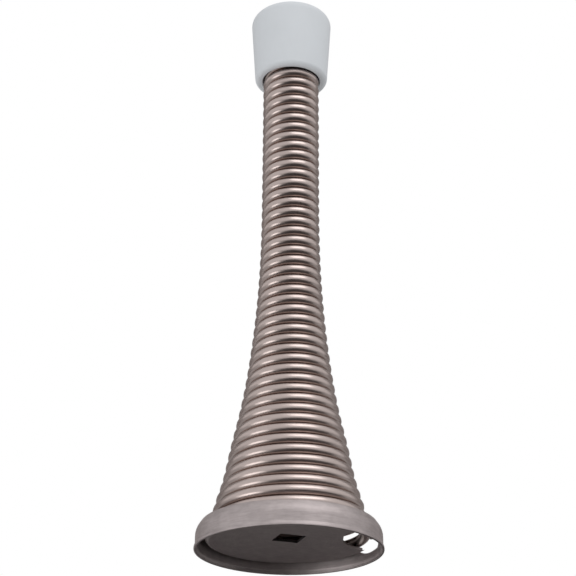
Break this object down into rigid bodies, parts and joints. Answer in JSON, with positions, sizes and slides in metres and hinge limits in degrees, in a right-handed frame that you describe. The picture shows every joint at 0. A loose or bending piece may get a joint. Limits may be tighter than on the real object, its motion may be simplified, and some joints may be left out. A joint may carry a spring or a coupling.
{
  "type": "baseboard door stop",
  "caption": "Flared close-wound spring door stop with a pressed round base and a rubber bumper tip.",
  "frame": {"origin": "middle of the base's rim, in the plane that lies against the baseboard", "axes": "+Z along the stop from its base to its rubber tip; +X towards the opening in the base"},
  "size_m": [0.0246, 0.0246, 0.0819],
  "materials": {
    "base_metal": "satin nickel plate",
    "spring_wire": "satin nickel plate",
    "tip_rubber": "matt pale grey"
  },
  "bodies": {
    "root": {"pressed_base": "base_metal", "flared_spring": "spring_wire", "rubber_tip": "tip_rubber"}
  },
  "joints": []
}
